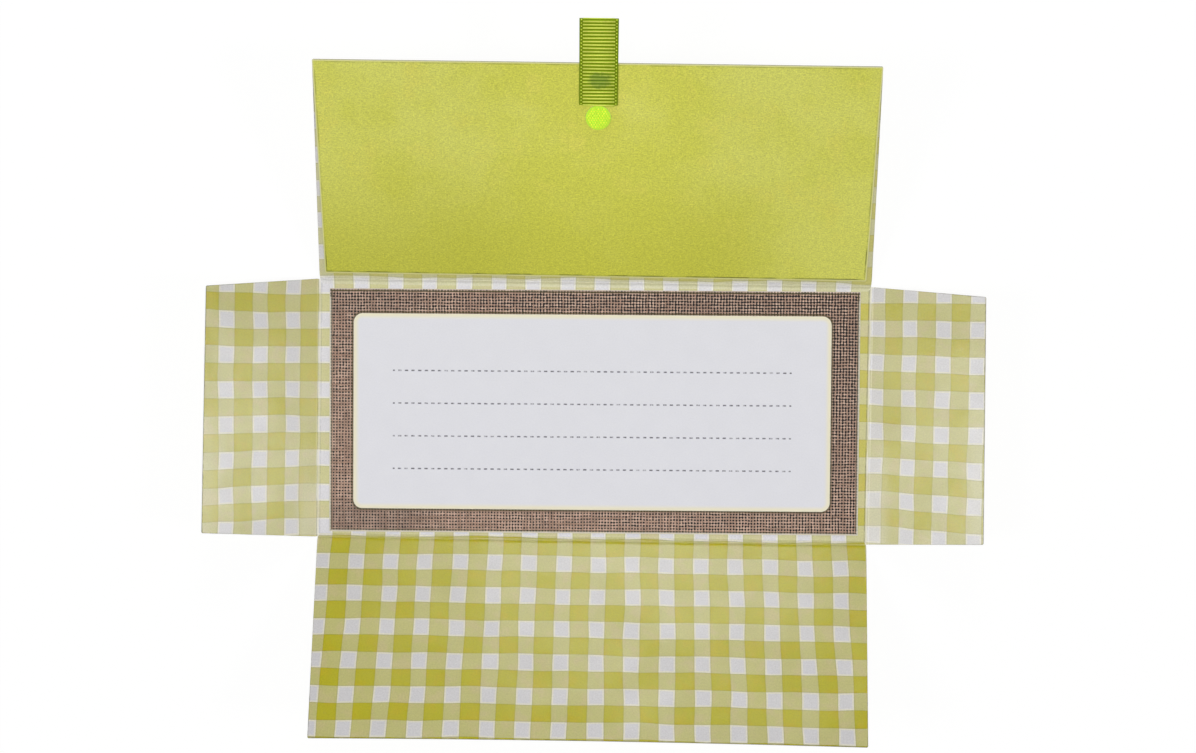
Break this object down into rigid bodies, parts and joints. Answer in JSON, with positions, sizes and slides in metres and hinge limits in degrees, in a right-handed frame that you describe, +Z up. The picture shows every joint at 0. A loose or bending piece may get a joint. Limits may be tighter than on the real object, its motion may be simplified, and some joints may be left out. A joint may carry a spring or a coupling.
{
  "type": "gift envelope",
  "caption": "Open card gift envelope: lined lid with ribbon pull tab and hook-and-loop dot, pocket flap, side flaps and a writing label on a burlap-print mat.",
  "frame": {"origin": "middle of the back panel's underside, halfway between the fold lines", "axes": "+Z up out of the writing label, +Y towards the lid with the ribbon tab, +X to the reader's right"},
  "size_m": [0.2485, 0.2233, 0.0411],
  "materials": {
    "check_card": "satin",
    "burlap_print": "satin",
    "label_stock": "satin",
    "lime_sheet": "matte",
    "double_sided_tape": "matte",
    "grosgrain": "satin",
    "dot_adhesive": "matte",
    "hook_tape": "satin",
    "loop_tape": "matte"
  },
  "bodies": {
    "folder": {"base_panel": "check_card", "lid_crease": "check_card", "pocket_crease": "check_card", "left_crease": "check_card", "right_crease": "check_card", "mat_tape": "double_sided_tape", "burlap_mat": "burlap_print", "label_tape": "double_sided_tape", "writing_label": "label_stock"},
    "lid": {"lid_panel": "check_card", "lining_tape": "double_sided_tape", "lid_lining": "lime_sheet", "ribbon_tape": "double_sided_tape", "ribbon_tab": "grosgrain", "hook_backing": "dot_adhesive", "hook_dot": "hook_tape"},
    "pocket": {"pocket_panel": "check_card", "loop_backing": "dot_adhesive", "loop_dot": "loop_tape"},
    "left_side": {"left_flap": "check_card"},
    "right_side": {"right_flap": "check_card"}
  },
  "joints": [
    {"name": "lid_fold", "type": "hinge", "parent": "folder", "child": "lid", "pos_m": [0, 0.0422, 0.00112], "axis": [1, 0, 0], "range_deg": [-26.5, 151.1], "deforming": ["lid_crease"]},
    {"name": "pocket_fold", "type": "hinge", "parent": "folder", "child": "pocket", "pos_m": [0, -0.0422, 0.0009], "axis": [-1, 0, 0], "range_deg": [-27.6, 150.4], "deforming": ["pocket_crease"]},
    {"name": "left_fold", "type": "hinge", "parent": "folder", "child": "left_side", "pos_m": [-0.09, 0, 0.00068], "axis": [0, 1, 0], "range_deg": [-31.6, 148.4], "deforming": ["left_crease"]},
    {"name": "right_fold", "type": "hinge", "parent": "folder", "child": "right_side", "pos_m": [0.09, 0, 0.00068], "axis": [0, -1, 0], "range_deg": [-29, 151], "deforming": ["right_crease"]}
  ]
}
